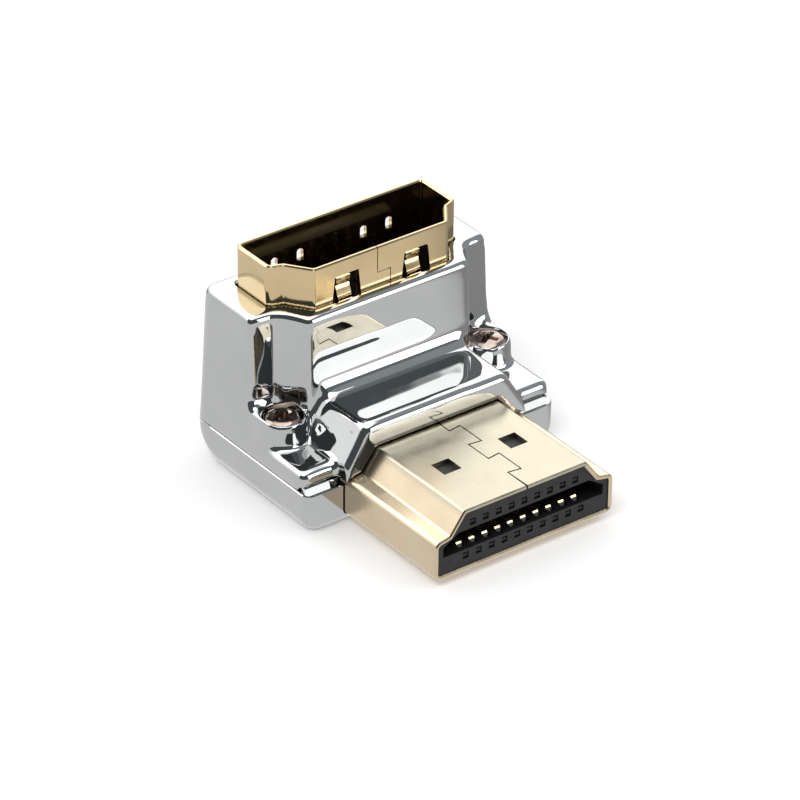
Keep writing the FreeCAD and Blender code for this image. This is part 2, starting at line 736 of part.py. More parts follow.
high_groove = profile(core, "high_groove", "YZ_Plane", [
    ("core_front - overcut", "high_port - port_size / 2"),
    ("core_front + port_web", "high_port - port_size / 2"),
    ("core_front + port_web", "board_top - contact_gap"),
    ("core_end + overcut", "board_top - contact_gap"),
    ("core_end + overcut", "board_top + contact_sheet + contact_gap"),
    ("core_front + port_depth", "board_top + contact_sheet + contact_gap"),
    ("core_front + port_depth", "high_port + port_size / 2"),
    ("core_front - overcut", "high_port + port_size / 2"),
], "-4 * pitch")
first = pocket(core, "high_channel", high_groove, "port_size", symmetric=True)
along_x(core, "high_channels", first, 9, "pitch")

# Circuit board between the two connectors, its neck gripped by the tails of the plug contacts.
board = body_named("circuit_board")
blank = profile(board, "board_outline", "XY_Plane",
                both_sides([("board_neck", "board_front"), ("board_neck", "board_shoulder"),
                            ("board_half", "board_shoulder"), ("board_half", "board_rear")]), "board_low")
pad(board, "board_body", blank, "board_top - board_low")

# Socket shell: an upright tube of the same sheet, with two windows and their springs at the front
# and two slit springs at the rear.
well_shell = body_named("socket_shell")
outer = profile(well_shell, "socket_outline", "XY_Plane", socket_outline("0"), "board_top")
pad(well_shell, "socket_body", outer, "socket_rim - board_top")
rounded(well_shell, "socket_rounds", "socket_round", from_corners(outer, (2, 3, 4, 5)))
rounded(well_shell, "socket_crown_rounds", "crown_round", from_corners(outer, (0, 1, 6, 7)))
inner = profile(well_shell, "socket_hollow_outline", "XY_Plane", socket_outline("socket_sheet"),
                "socket_rim")
pocket(well_shell, "socket_hollow", inner, "socket_rim - board_top")
rounded(well_shell, "socket_hollow_rounds", "hollow_round", from_corners(inner, range(8)))
rounded(well_shell, "socket_rim_bevels", "rim_bevel",
        lambda e: near(middle(e).z, value_of("socket_rim")) and extent(e, 2) < 0.001, "Chamfer")
window = profile(well_shell, "window_outline", "XZ_Plane",
                 [("window_offset - window_width / 2 - window_flare / 2", "window_low"),
                  ("window_offset + window_width / 2 + window_flare / 2", "window_low"),
                  ("window_offset + window_width / 2 - window_flare / 2", "socket_rim - window_top"),
                  ("window_offset - window_width / 2 + window_flare / 2", "socket_rim - window_top")],
                 "-socket_front")
opening = pocket(well_shell, "window", window, "socket_sheet * 1.5")
rounded(well_shell, "window_rounds", "hollow_round", from_corners(window, (2, 3)))
spring = profile(well_shell, "spring_outline", "YZ_Plane", [
    ("socket_front", "window_low - socket_sheet"),
    ("socket_front + socket_sheet", "window_low - socket_sheet"),
    ("socket_front + socket_sheet", "window_low"),
    ("socket_front + spring_knee + contact_sheet", "window_low + spring_rise"),
    ("socket_front + spring_tip + contact_sheet", "window_low + spring_rise + spring_hook"),
    ("socket_front + spring_tip", "window_low + spring_rise + spring_hook"),
    ("socket_front + spring_knee", "window_low + spring_rise"),
    ("socket_front", "window_low"),
], "window_offset")
blade = pad(well_shell, "spring", spring, "spring_width", symmetric=True)
slit_low = "socket_rim - slit_top - slit_length"
slit_high = "socket_rim - slit_top"
slit = profile(well_shell, "slit_outline", "XZ_Plane", [
    ("slit_offset - slit_spread - slit_width / 2", slit_low),
    ("slit_offset + slit_spread + slit_width / 2", slit_low),
    ("slit_offset + slit_spread + slit_width / 2", slit_high),
    ("slit_offset + slit_spread - slit_width / 2", slit_high),
    ("slit_offset + slit_spread - slit_width / 2", slit_low + " + slit_foot"),
    ("slit_offset - slit_spread + slit_width / 2", slit_low + " + slit_foot"),
    ("slit_offset - slit_spread + slit_width / 2", slit_high),
    ("slit_offset - slit_spread - slit_width / 2", slit_high),
], "-(socket_rear - socket_sheet * 1.5)")
cut = pocket(well_shell, "slit", slit, "socket_sheet * 1.5 + overcut")
mirrored(well_shell, "socket_twins", [opening, blade, cut])
rounded(well_shell, "slit_rounds", "slit_round",
        lambda e: runs_along(e, 1) and near(middle(e).z, value_of("socket_rim - slit_top"))
        and near(middle(e).y, value_of("socket_rear - socket_sheet / 2")))
joint = "socket_rim - socket_seam_drop"
seam = profile(well_shell, "socket_seam_outline", "XZ_Plane", [
    ("-socket_seam_left - seam_width / 2", "socket_rim + overcut"),
    ("-socket_seam_left - seam_width / 2", joint + " - seam_width / 2"),
    ("socket_seam_right - seam_width / 2", joint + " - seam_width / 2"),
    ("socket_seam_right - seam_width / 2", "board_top - overcut"),
    ("socket_seam_right + seam_width / 2", "board_top - overcut"),
    ("socket_seam_right + seam_width / 2", joint + " + seam_width / 2"),
    ("-socket_seam_left + seam_width / 2", joint + " + seam_width / 2"),
    ("-socket_seam_left + seam_width / 2", "socket_rim + overcut"),
], "-socket_front")
pocket(well_shell, "socket_seam", seam, "socket_sheet * 1.5")

# Socket core: a moulded block on the board with a tongue that rises between the two contact rows.
stand = body_named("socket_insulator")
foot = profile(stand, "stand_outline", "XY_Plane", socket_outline("socket_sheet + contact_gap"),
               "board_top")
pad(stand, "stand_body", foot, "base_height")
rounded(stand, "stand_rounds", "hollow_round", from_corners(foot, range(8)))
blade = profile(stand, "tongue_outline", "XY_Plane",
                block("-tongue_half", "tongue_half", "tongue_front", "tongue_rear"), "board_top")
pad(stand, "tongue_body", blade, "tongue_tip - board_top")
rounded(stand, "tongue_tip_edges", "hollow_round",
        lambda e: runs_along(e, 0) and near(middle(e).z, value_of("tongue_tip")), "Chamfer")


def socket_groove(name, face, out, start):
    """Channel for one socket contact: up the tongue's face and out along the board."""
    return profile(stand, name, "YZ_Plane", [
        (face + " - %s(contact_sheet - contact_rise / 2 + contact_gap)" % out, "tongue_tip - port_web"),
        (face + " - %s(contact_sheet - contact_rise / 2 + contact_gap)" % out, "board_top"),
        (face + " + %s(contact_rise / 2 + foot_length + contact_gap)" % out, "board_top"),
        (face + " + %s(contact_rise / 2 + foot_length + contact_gap)" % out,
         "board_top + contact_sheet + contact_gap"),
        (face + " + %s(contact_rise / 2 + contact_gap)" % out, "board_top + contact_sheet + contact_gap"),
        (face + " + %s(contact_rise / 2 + contact_gap)" % out, "tongue_tip - port_web"),
    ], start)


front_groove = socket_groove("front_groove", "tongue_front", "-1 * ", "-4 * pitch")
first = pocket(stand, "front_channel", front_groove, "port_size", symmetric=True)
along_x(stand, "front_channels", first, 9, "pitch")
rear_groove = socket_groove("rear_groove", "tongue_rear", "1 * ", "-4.5 * pitch")
first = pocket(stand, "rear_channel", rear_groove, "port_size", symmetric=True)
along_x(stand, "rear_channels", first, 10, "pitch")


# Contacts: strips of plated sheet, one node each, along the two rows of either connector.
def plug_contact(label, position, port, low, over):
    body = body_named(label)
    start = "core_front + contact_gap * 2"
    knee = "core_front + port_depth - port_web"
    side = profile(body, label + "_side", "YZ_Plane", [
        (start, port + " - contact_sheet / 2"),
        (start + " + port_web", port + " - contact_sheet / 2"),
        (knee + (" - contact_sheet / 4" if over else ""), low),
        ("tail_end", low),
        ("tail_end", low + " + contact_sheet"),
        (knee + ("" if over else " - contact_sheet / 4"), low + " + contact_sheet"),
        (start + " + port_web", port + " + contact_sheet / 2"),
        (start, port + " + contact_sheet / 2"),
    ])
    pad(body, label + "_strip", side, "contact_width", symmetric=True)
    drive(body, "Placement.Base.x", position)


for k in range(10):
    plug_contact("plug_contact_low_%02d" % (k + 1), "(%d - 4.5) * pitch" % k, "low_port",
                 "board_low - contact_sheet", False)
for k in range(9):
    plug_contact("plug_contact_high_%02d" % (k + 1), "(%d - 4) * pitch" % k, "high_port", "board_top",
                 True)


def socket_contact(label, position, face, out):
    body = body_named(label)
    side = profile(body, label + "_side", "YZ_Plane", [
        (face + " - %s(contact_sheet - contact_rise / 2)" % out, "tongue_tip - port_web - contact_gap"),
        (face + " - %s(contact_sheet - contact_rise / 2)" % out, "board_top"),
        (face + " + %s(contact_rise / 2 + foot_length)" % out, "board_top"),
        (face + " + %s(contact_rise / 2 + foot_length)" % out, "board_top + contact_sheet"),
        (face + " + %s(contact_rise / 2)" % out, "board_top + contact_sheet"),
        (face + " + %s(contact_rise / 2)" % out, "tongue_tip - port_web - contact_gap"),
    ])
    pad(body, label + "_strip", side, "contact_width", symmetric=True)
    drive(body, "Placement.Base.x", position)


for k in range(9):
    socket_contact("socket_contact_front_%02d" % (k + 1), "(%d - 4) * pitch" % k, "tongue_front", "-1 * ")
for k in range(10):
    socket_contact("socket_contact_rear_%02d" % (k + 1), "(%d - 4.5) * pitch" % k, "tongue_rear", "1 * ")

doc.recompute()
for item in doc.Objects:
    if "Invalid" in item.State or "Error" in item.State:
        raise ValueError("%s failed" % item.Label)
for node in NODES:
    if node.Shape.isNull() or not node.Shape.isValid():
        raise ValueError("%s has no valid shape" % node.Label)
os.makedirs("parts", exist_ok=True)
for node in NODES:
    node.Shape.exportStep("parts/%s.step" % node.Label)
    print(node.Label, round(node.Shape.Volume, 3), len(node.Shape.Solids))
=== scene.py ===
import json
import math

import bmesh
import bpy
from mathutils import Matrix, Vector
from mathutils.bvhtree import BVHTree


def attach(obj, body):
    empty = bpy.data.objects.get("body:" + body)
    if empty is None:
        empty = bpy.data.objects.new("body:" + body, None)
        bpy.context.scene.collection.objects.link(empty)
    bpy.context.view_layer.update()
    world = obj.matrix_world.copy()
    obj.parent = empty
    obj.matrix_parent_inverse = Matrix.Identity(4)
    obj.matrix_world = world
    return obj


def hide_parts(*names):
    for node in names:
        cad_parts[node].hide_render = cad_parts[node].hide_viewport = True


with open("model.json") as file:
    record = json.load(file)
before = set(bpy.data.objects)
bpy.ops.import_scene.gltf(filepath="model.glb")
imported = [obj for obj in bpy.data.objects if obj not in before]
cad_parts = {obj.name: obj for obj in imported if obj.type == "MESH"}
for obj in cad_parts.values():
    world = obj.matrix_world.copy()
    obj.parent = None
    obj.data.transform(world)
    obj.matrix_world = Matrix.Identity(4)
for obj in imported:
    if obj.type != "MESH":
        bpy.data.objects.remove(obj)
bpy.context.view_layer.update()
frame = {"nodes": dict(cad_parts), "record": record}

scene = bpy.context.scene
MM = 0.001
NODE_SLOTS = {entry["node"]: entry["material_slot"] for entry in frame["record"]["subparts"]}

# Sizes of the part that the pieces below follow, in millimetres.
PLUG_FRONT = -10.95
PLUG_FLOOR = 0.5
PLUG_SLOT_MIDDLE = 2.7
SEAM_HEIGHT = 2.8
BOSS_HEIGHT = 5.9
SHELF_HEIGHT = 6.65
PLATE_HEIGHT = 12.25
SHELF_HALF = 6.4
EAR_INSIDE = 7.6
HOUSING_HALF = 9.82
NOTCH_FRONT = 4.84

# The plug: where its crown starts and where the greyer tone painted there for its pale sheen is full,
# how deep the painted shade on the tips in its ports reaches, and half the height of the slot between
# the ports, where the tips get no painted shade and keep their bright tone.
CROWN_START = 4.5
CROWN_SHEEN_FULL = 4.9
PORT_SHADE_DEPTH = 0.9
PLUG_SLOT_HALF = 0.68

# The seam in the plug's crown, as points across and along. Points nearer to it than the bank's width
# move away from it, and those on the line itself stay.
PLUG_SEAM = ((0.09, -11.2), (0.09, -9.0), (0.99, -9.14), (0.99, -6.91), (0.09, -7.05),
             (0.09, -5.0), (0.99, -5.14), (0.99, -2.91), (0.09, -3.05), (0.09, 1.2))
SEAM_LINE = 1e-4
SEAM_BANK = 0.05
SEAM_OPENING = 0.035

# The cover's fine mesh: points near the connectors or under the foot stay, the others are smoothed,
# and those of the rim are smoothed once more.
COVER_VOXEL = 0.19
COVER_ROUNDS = 6
COVER_FOOT = SEAM_HEIGHT + 0.4
COVER_RIM = PLATE_HEIGHT - 1.0
CONNECTOR_REACH = 0.3
SMOOTHING = 0.5

# The cover's outer sides lean in, and its ears turn back from a soft root beside the tower.
SIDE_LEAN = 0.33
EAR_ROOT = 0.12
EAR_ROOT_WIDTH = 0.22
EAR_TURN = 0.14
EAR_FOOT = 0.6
EAR_DEPTH = 1.0

# The shelf's front rises a little, up to its right part, which leaves a shallow dish behind it.
SHELF_RISE = 0.055
RISE_ALONG = (-0.95, -0.3)
RISE_ACROSS = (1.8, 3.0)
RISE_FOOT = SHELF_HEIGHT - 1.0
RISE_TOP = SHELF_HEIGHT - 0.4
SHELF_BACK = 1.5

# The screws. A ring of the dome is a share of the head's radius and a height over the seat, and a
# ring of the recess is a share of the cross and such a height.
SCREW_OFFSET = 8.1
SCREW_ROW = 3.5
SEAT_HEIGHT = 5.15
SHANK_END = 0.55
SHANK_RADIUS = 0.7
HEAD_RADIUS = 1.27
HEAD_EDGE = 0.2
HEAD_POINTS = 96
DOME_RINGS = ((0.97, 0.36), (0.90, 0.50), (0.78, 0.60), (0.66, 0.655))
RECESS_RINGS = ((1.04, 0.665), (0.97, 0.62), (0.62, 0.20))
CROSS_REACH = 0.72
CROSS_HALF = 0.2
RIGHT_SCREW_TURN = 28.0
LEFT_SCREW_TURN = 12.0

# Angles in degrees over which an edge between two faces stays crisp. The cover has no crisp edge.
SKIN_CREASE = 32.0
SCREW_CREASE = 40.0
NO_CREASE = 180.0

# Noise lies mostly between these two values.
NOISE_SPAN = (0.3, 0.7)

# Camera: where it stands round the part in degrees, and how the picture is framed.
CAMERA_AZIMUTH = -37.032
CAMERA_ELEVATION = 31.6
CAMERA_ROLL = math.radians(0.545)
CAMERA_DISTANCE = 311.8 * MM
CAMERA_SIDE = 7.727 * MM
CAMERA_RISE = -9.098 * MM
CAMERA_LENS = 226.53
CAMERA_AIM = Vector((0.0, PLUG_FRONT, PLUG_FLOOR)) * MM

# Stage, in metres. The surroundings are white where they are seen, and cast slightly less light.
TABLE_RADIUS = 1.2
WORLD_SEEN = 1.0
WORLD_CAST = 0.93

# Cards round the part: azimuths and elevations in degrees, and a colour or a level of white light.
CARD_DISTANCE = 0.8
CARDS = (
    ("dark_left", (-110, 12), (1, 60), (0.10, 0.115, 0.12)),
    ("dark_right", (48, 112), (1, 60), (0.42, 0.45, 0.47)),
    ("dark_over", (12, 48), (34.5, 60), (0.22, 0.26, 0.28)),
)
SOFT_BOX_DISTANCE = 0.7
SOFT_BOXES = (
    ("soft_box_front", (14, 48), (0, 34.3), 3.9),
    ("soft_box_rear", (112, 180), (6, 60), 2.2),
    ("soft_box_left", (-180, -116), (27, 58), 2.9),
    ("soft_box_low", (-180, -116), (10, 26.5), 1.45),
    ("soft_box_over", (-180, 180), (60, 89), 2.4),
)

# The sheet under the part glows as a painted reflection of the floor, seen only in reflections: its
# glow falls from one level to the other across a turned line.
FLAG_RADIUS = 0.5
FLAG_HEIGHT = 0.02 * MM
FLAG_TURN = math.radians(-26.6)
FLAG_FADE = (7.5 * MM, 13.5 * MM)
FLAG_LEVELS = (0.93, 0.42)


def new_finish(name, metallic=0.0):
    """A new material, its node tree and its shader."""
    material = bpy.data.materials.new(name)
    material.use_nodes = True
    tree = material.node_tree
    shader = tree.nodes["Principled BSDF"]
    shader.inputs["Metallic"].default_value = metallic
    return material, tree, shader


def link(tree, source, socket, target, name):
    """Joins an output of one node to an input of another."""
    tree.links.new(source.outputs[socket], target.inputs[name])


def own_place(tree, scale=(1.0, 1.0, 1.0), turn=0.0):
    """The piece's own coordinates, stretched or turned about the upright where asked."""
    place = tree.nodes.new("ShaderNodeTexCoord")
    mapping = tree.nodes.new("ShaderNodeMapping")
    mapping.inputs["Scale"].default_value = scale
    mapping.inputs["Rotation"].default_value = (0.0, 0.0, turn)
    link(tree, place, "Object", mapping, "Vector")
    return mapping


def axes(tree, turn=0.0):
    """The piece's own coordinates one by one."""
    split = tree.nodes.new("ShaderNodeSeparateXYZ")
    link(tree, own_place(tree, turn=turn), "Vector", split, "Vector")
    return split


def noise(tree, scale, detail=2.0, stretch=(1.0, 1.0, 1.0)):
    """Noise in the piece's own coordinates, with its scale per millimetre."""
    grain = tree.nodes.new("ShaderNodeTexNoise")
    grain.inputs["Scale"].default_value = scale / MM
    grain.inputs["Detail"].default_value = detail
    link(tree, own_place(tree, scale=stretch), "Vector", grain, "Vector")
    return grain


def ranged(tree, source, socket, start, end, low=0.0, high=1.0):
    """A value mapped from one range onto another, and stopped at both ends."""
    rescale = tree.nodes.new("ShaderNodeMapRange")
    rescale.inputs["From Min"].default_value = start
    rescale.inputs["From Max"].default_value = end
    rescale.inputs["To Min"].default_value = low
    rescale.inputs["To Max"].default_value = high
    link(tree, source, socket, rescale, "Value")
    return rescale


def calculated(tree, operation, source, socket, *terms):
    """A value put through one operation, with plain numbers as its other terms."""
    node = tree.nodes.new("ShaderNodeMath")
    node.operation = operation
    link(tree, source, socket, node, 0)
    for place, term in enumerate(terms, 1):
        node.inputs[place].default_value = term
    return node


def blended(tree, grain, first, second):
    """A colour that wanders between two tones as the noise does."""
    ramp = tree.nodes.new("ShaderNodeValToRGB")
    for stop, position, tone in zip(ramp.color_ramp.elements, NOISE_SPAN, (first, second)):
        stop.position = position
        stop.color = (*tone, 1.0)
    link(tree, grain, "Fac", ramp, "Fac")
    return ramp


def overlaid(tree, tone, colour, mask, socket):
    """A tone that gives way to a plain colour where the mask is 1."""
    blend = tree.nodes.new("ShaderNodeMixRGB")
    blend.inputs["Color2"].default_value = (*colour, 1.0)
    link(tree, mask, socket, blend, "Fac")
    link(tree, tone, "Color", blend, "Color1")
    return blend


def glossed(tree, shader, grain, low, high):
    """Lets the roughness wander between two values as the noise does."""
    link(tree, ranged(tree, grain, "Fac", *NOISE_SPAN, low, high), "Result", shader, "Roughness")


def bumped(tree, shader, grain, height):
    """Makes the surface uneven by a noise, up to a height in millimetres."""
    bump = tree.nodes.new("ShaderNodeBump")
    bump.inputs["Strength"].default_value = 1.0
    bump.inputs["Distance"].default_value = height * MM
    link(tree, grain, "Fac", bump, "Height")
    link(tree, bump, "Normal", shader, "Normal")


def bright_chrome():
    """Plated casting: mirror bright, faintly uneven where the casting under it was polished."""
    material, tree, shader = new_finish("bright_chrome", metallic=1.0)
    tone = blended(tree, noise(tree, scale=0.25), (0.465, 0.472, 0.470), (0.495, 0.502, 0.500))
    link(tree, tone, "Color", shader, "Base Color")
    glossed(tree, shader, noise(tree, scale=1.6, detail=4.0), low=0.006, high=0.03)
    bumped(tree, shader, noise(tree, scale=0.30, detail=1.0), height=0.0025)
    return material


def gold_plate(name, first, second, gloss, crown=None):
    """Rolled sheet with gold plating, which takes another tone on the plug's crown where given one: a
    painted tone for the pale sheen of the crown's reflections.
    """
    material, tree, shader = new_finish(name, metallic=1.0)
    tone = blended(tree, noise(tree, scale=0.4), first, second)
    # The crown's greyer tone is painted, standing in for the pale sheen of its reflections.
    if crown:
        height = ranged(tree, axes(tree), "Z", CROWN_START * MM, CROWN_SHEEN_FULL * MM)
        tone = overlaid(tree, tone, crown, height, "Result")
    link(tree, tone, "Color", shader, "Base Color")
    glossed(tree, shader, noise(tree, scale=0.7), *gloss)
    return material


def champagne_plate():
    """The plug's plating: pale gold with a soft gloss, and a greyer tone painted on the crown for the
    pale sheen of its reflections.
    """
    return gold_plate("champagne_plate", (0.60, 0.49, 0.34), (0.64, 0.54, 0.39),
                      gloss=(0.21, 0.29), crown=(0.45, 0.41, 0.32))


def deep_champagne_plate():
    """The socket's plating: a deeper gold with a bright gloss."""
    return gold_plate("deep_champagne_plate", (0.59, 0.455, 0.255), (0.64, 0.505, 0.305),
                      gloss=(0.08, 0.15))


def black_moulding():
    """Black plastic with a fine dull skin."""
    material, tree, shader = new_finish("black_moulding")
    tone = blended(tree, noise(tree, scale=2.0), (0.006, 0.006, 0.007), (0.013, 0.013, 0.014))
    link(tree, tone, "Color", shader, "Base Color")
    shader.inputs["Specular IOR Level"].default_value = 0.35
    glossed(tree, shader, noise(tree, scale=5.0, detail=4.0), low=0.40, high=0.55)
    bumped(tree, shader, noise(tree, scale=9.0, detail=3.0), height=0.004)
    return material


def contact_plate():
    """Gold plated contacts, whose tips in the plug's ports are darkened by painted shade, while those
    in its slot keep their bright tone.
    """
    material, tree, shader = new_finish("contact_plate", metallic=1.0)
    tone = blended(tree, noise(tree, scale=1.5), (0.86, 0.72, 0.42), (0.93, 0.82, 0.55))
    place = axes(tree)
    # The tips in the ports get a painted shade of near black; those in the slot between the ports do
    # not.
    tip = calculated(tree, "LESS_THAN", place, "Y", (PLUG_FRONT + PORT_SHADE_DEPTH) * MM)
    slot = calculated(tree, "COMPARE", place, "Z", PLUG_SLOT_MIDDLE * MM, PLUG_SLOT_HALF * MM)
    port_shade = calculated(tree, "SUBTRACT", tip, "Value")
    port_shade.use_clamp = True
    link(tree, slot, "Value", port_shade, 1)
    tone = overlaid(tree, tone, (0.035, 0.033, 0.032), port_shade, "Value")
    link(tree, tone, "Color", shader, "Base Color")
    glossed(tree, shader, noise(tree, scale=4.0), low=0.18, high=0.30)
    return material


def board_laminate():
    """Green board with a woven grain."""
    material, tree, shader = new_finish("board_laminate")
    grain = noise(tree, scale=1.2, detail=4.0, stretch=(1.0, 0.3, 1.0))
    tone = blended(tree, grain, (0.010, 0.075, 0.030), (0.02, 0.13, 0.05))
    link(tree, tone, "Color", shader, "Base Color")
    shader.inputs["Roughness"].default_value = 0.35
    bumped(tree, shader, noise(tree, scale=4.0, detail=3.0), height=0.004)
    return material


def screw_steel():
    """Plated steel with a brown cast, worn brighter in places."""
    material, tree, shader = new_finish("screw_steel", metallic=1.0)
    tone = blended(tree, noise(tree, scale=1.1, detail=3.0), (0.26, 0.19, 0.155), (0.46, 0.385, 0.34))
    link(tree, tone, "Color", shader, "Base Color")
    glossed(tree, shader, noise(tree, scale=2.5, detail=3.0), low=0.10, high=0.20)
    bumped(tree, shader, noise(tree, scale=1.4), height=0.006)
    return material


FINISHES = {
    "bright_chrome": bright_chrome(),
    "champagne_plate": champagne_plate(),
    "black_moulding": black_moulding(),
    "contact_plate": contact_plate(),
    "board_laminate": board_laminate(),
    "screw_steel": screw_steel(),
}


def finish_nodes():
    """Gives every node of the part its finish."""
    for node, slot in NODE_SLOTS.items():
        materials = frame["nodes"][node].data.materials
        materials.clear()
        materials.append(FINISHES[slot])


def meshed(name, shape):
    """A new mesh from a finished shape."""
    mesh = bpy.data.meshes.new(name)
    shape.to_mesh(mesh)
    shape.free()
    return mesh


def shaded(shape, crease):
    """Makes the faces smooth, and the edges crisp where two faces meet at more than the crease."""
    for face in shape.faces:
        face.smooth = True
    for edge in shape.edges:
        edge.smooth = edge.calc_face_angle(0.0) <= math.radians(crease)


def add_piece(name, shape, slot):
    """A new piece of the part with the finish of its slot."""
    piece = bpy.data.objects.new(name, meshed(name, shape))
    piece.data.materials.append(FINISHES[slot])
    scene.collection.objects.link(piece)
    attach(piece, "root")
    return piece


def add_skin(node):
    """A copy of a node as one closed mesh with smooth rounds and crisp edges, which stands for it."""
    shape = bmesh.new()
    shape.from_mesh(frame["nodes"][node].data)
    bmesh.ops.remove_doubles(shape, verts=shape.verts, dist=0.001 * MM)
    shaded(shape, SKIN_CREASE)
    piece = add_piece(node + "_skin", shape, NODE_SLOTS[node])
    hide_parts(node)
    return piece


def polished(piece):
    """Lets the large faces lead the shading, so that flat ones look flat beside their rounds."""
    flat = piece.modifiers.new("flat_faces", "WEIGHTED_NORMAL")
    flat.keep_sharp = True
    return piece


def even_shape(piece):
    """The form of a piece as one even fine mesh."""
    even = piece.modifiers.new("even_mesh", "REMESH")
    even.mode = "VOXEL"
    even.voxel_size = COVER_VOXEL * MM
    bpy.context.view_layer.update()
    shape = bmesh.new()
    shape.from_object(piece, bpy.context.evaluated_depsgraph_get())
    piece.modifiers.clear()
    return shape


def connector_walls():
    """The shells of the two connectors, as a tree that finds the nearest of their points."""
    walls = bmesh.new()
    for node in ("plug_shell", "socket_shell"):
        walls.from_mesh(frame["nodes"][node].data)
    tree = BVHTree.FromBMesh(walls)
    walls.free()
    return tree


def eased(value, start, end):
    """Rises smoothly from 0 at the start to 1 at the end."""
    step = min(1.0, max(0.0, (value - start) / (end - start)))
    return step * step * (3.0 - 2.0 * step)


def cover_shape(x, y, z):
    """Where a point of the cover goes: its outer sides lean, its ears turn and its shelf is dished."""
    side, across = math.copysign(1.0, x), abs(x)
    rise = (z - SEAM_HEIGHT) / (PLATE_HEIGHT - SEAM_HEIGHT)
    if across > EAR_INSIDE:
        across -= SIDE_LEAN * rise * (across - EAR_INSIDE) / (HOUSING_HALF - EAR_INSIDE)
    if y < NOTCH_FRONT + EAR_DEPTH and z > BOSS_HEIGHT:
        high = eased(z, BOSS_HEIGHT, BOSS_HEIGHT + EAR_FOOT)
        y += high * EAR_ROOT * math.exp(-((across - EAR_INSIDE) / EAR_ROOT_WIDTH) ** 2)
        y += high * EAR_TURN * max(0.0, across - EAR_INSIDE)
    if y < SHELF_BACK and z > RISE_FOOT and across < SHELF_HALF:
        ridge = (1.0 - eased(y, *RISE_ALONG)) * (1.0 - eased(x, *RISE_ACROSS))
        z += SHELF_RISE * ridge * eased(z, RISE_FOOT, RISE_TOP)
    return side * across, y, z


def build_cover():
    """The upper shell as a plated casting, shaped by a rule and with its edges rounded.

    Points close to the two connectors stay where they are, so their openings keep their fit.
    """
    piece = add_skin("upper_shell")
    shape = even_shape(piece)
    walls = connector_walls()
    free = [vert for vert in shape.verts if vert.co.z > COVER_FOOT * MM
            and walls.find_nearest(vert.co, CONNECTOR_REACH * MM)[0] is None]
    for vert in free:
        vert.co = Vector(cover_shape(*(vert.co / MM))) * MM
    rim = [vert for vert in free if vert.co.z > COVER_RIM * MM]
    for verts in (free, rim):
        for _ in range(COVER_ROUNDS):
            bmesh.ops.smooth_vert(shape, verts=verts, factor=SMOOTHING,
                                  use_axis_x=True, use_axis_y=True, use_axis_z=True)
    shaded(shape, NO_CREASE)
    shape.to_mesh(piece.data)
    shape.free()


def seam_gap(spot, start, end):
    """The way to a spot from the nearest point of one stretch of the seam."""
    run = end - start
    share = min(1.0, max(0.0, (spot - start).dot(run) / run.length_squared))
    return spot - (start + run * share)


def build_plug():
    """The plug's shell, with the seam in its crown opened a little."""
    path = [Vector(point) for point in PLUG_SEAM]
    for vert in polished(add_skin("plug_shell")).data.vertices:
        spot = vert.co / MM
        if spot.z < CROWN_START:
            continue
        flat = spot.to_2d()
        gaps = [seam_gap(flat, start, end) for start, end in zip(path, path[1:])]
        gap = min(gaps, key=lambda way: way.length)
        if SEAM_LINE < gap.length < SEAM_BANK:
            flat += gap.normalized() * SEAM_OPENING
            vert.co.x, vert.co.y = flat.x * MM, flat.y * MM


def build_socket():
    """The socket's shell, in its own plating."""
    polished(add_skin("socket_shell")).data.materials[0] = deep_champagne_plate()


def grown(shape, edges, place):
    """Extends a ring of edges by one more ring, and puts each new point where the rule says."""
    made = bmesh.ops.extrude_edge_only(shape, edges=edges)["geom"]
    for vert in (item for item in made if isinstance(item, bmesh.types.BMVert)):
        vert.co = place(vert.co)
    return [item for item in made if isinstance(item, bmesh.types.BMEdge) and item.is_boundary]


def cross_radius(angle):
    """Distance from the middle of the cross recess to its outline."""
    across, along = abs(math.cos(angle)), abs(math.sin(angle))
    first = min(CROSS_REACH / max(across, 1e-6), CROSS_HALF / max(along, 1e-6))
    second = min(CROSS_REACH / max(along, 1e-6), CROSS_HALF / max(across, 1e-6))
    return max(first, second)


def add_screw(shape, across, turn):
    """One screw: a low domed head with a tapered cross recess, and a plain shank."""
    centre = Vector((across, SCREW_ROW, 0.0))

    def outline(radius, height):
        """A rule that puts a point at a height, as far from the axis as its angle asks."""
        def place(spot):
            arm = (spot / MM - centre).to_2d().normalized()
            arm *= radius(math.atan2(arm.y, arm.x))
            return Vector((centre.x + arm.x, centre.y + arm.y, height)) * MM
        return place

    def ring(radius, height):
        return outline(lambda angle: radius, height)

    def cross(share, height):
        return outline(lambda angle: cross_radius(angle - turn) * share, height)

    made = bmesh.ops.create_circle(shape, segments=HEAD_POINTS, radius=HEAD_RADIUS * MM)
    start = Vector((across, SCREW_ROW, SEAT_HEIGHT + HEAD_EDGE)) * MM
    bmesh.ops.translate(shape, verts=made["verts"], vec=start)
    rim = list({edge for vert in made["verts"] for edge in vert.link_edges})
    edges = rim
    for share, rise in DOME_RINGS:
        edges = grown(shape, edges, ring(HEAD_RADIUS * share, SEAT_HEIGHT + rise))
    for share, rise in RECESS_RINGS:
        edges = grown(shape, edges, cross(share, SEAT_HEIGHT + rise))
    bmesh.ops.contextual_create(shape, geom=edges)
    edges = grown(shape, rim, ring(HEAD_RADIUS, SEAT_HEIGHT))
    edges = grown(shape, edges, ring(SHANK_RADIUS, SEAT_HEIGHT))
    edges = grown(shape, edges, ring(SHANK_RADIUS, SHANK_END))
    bmesh.ops.contextual_create(shape, geom=edges)


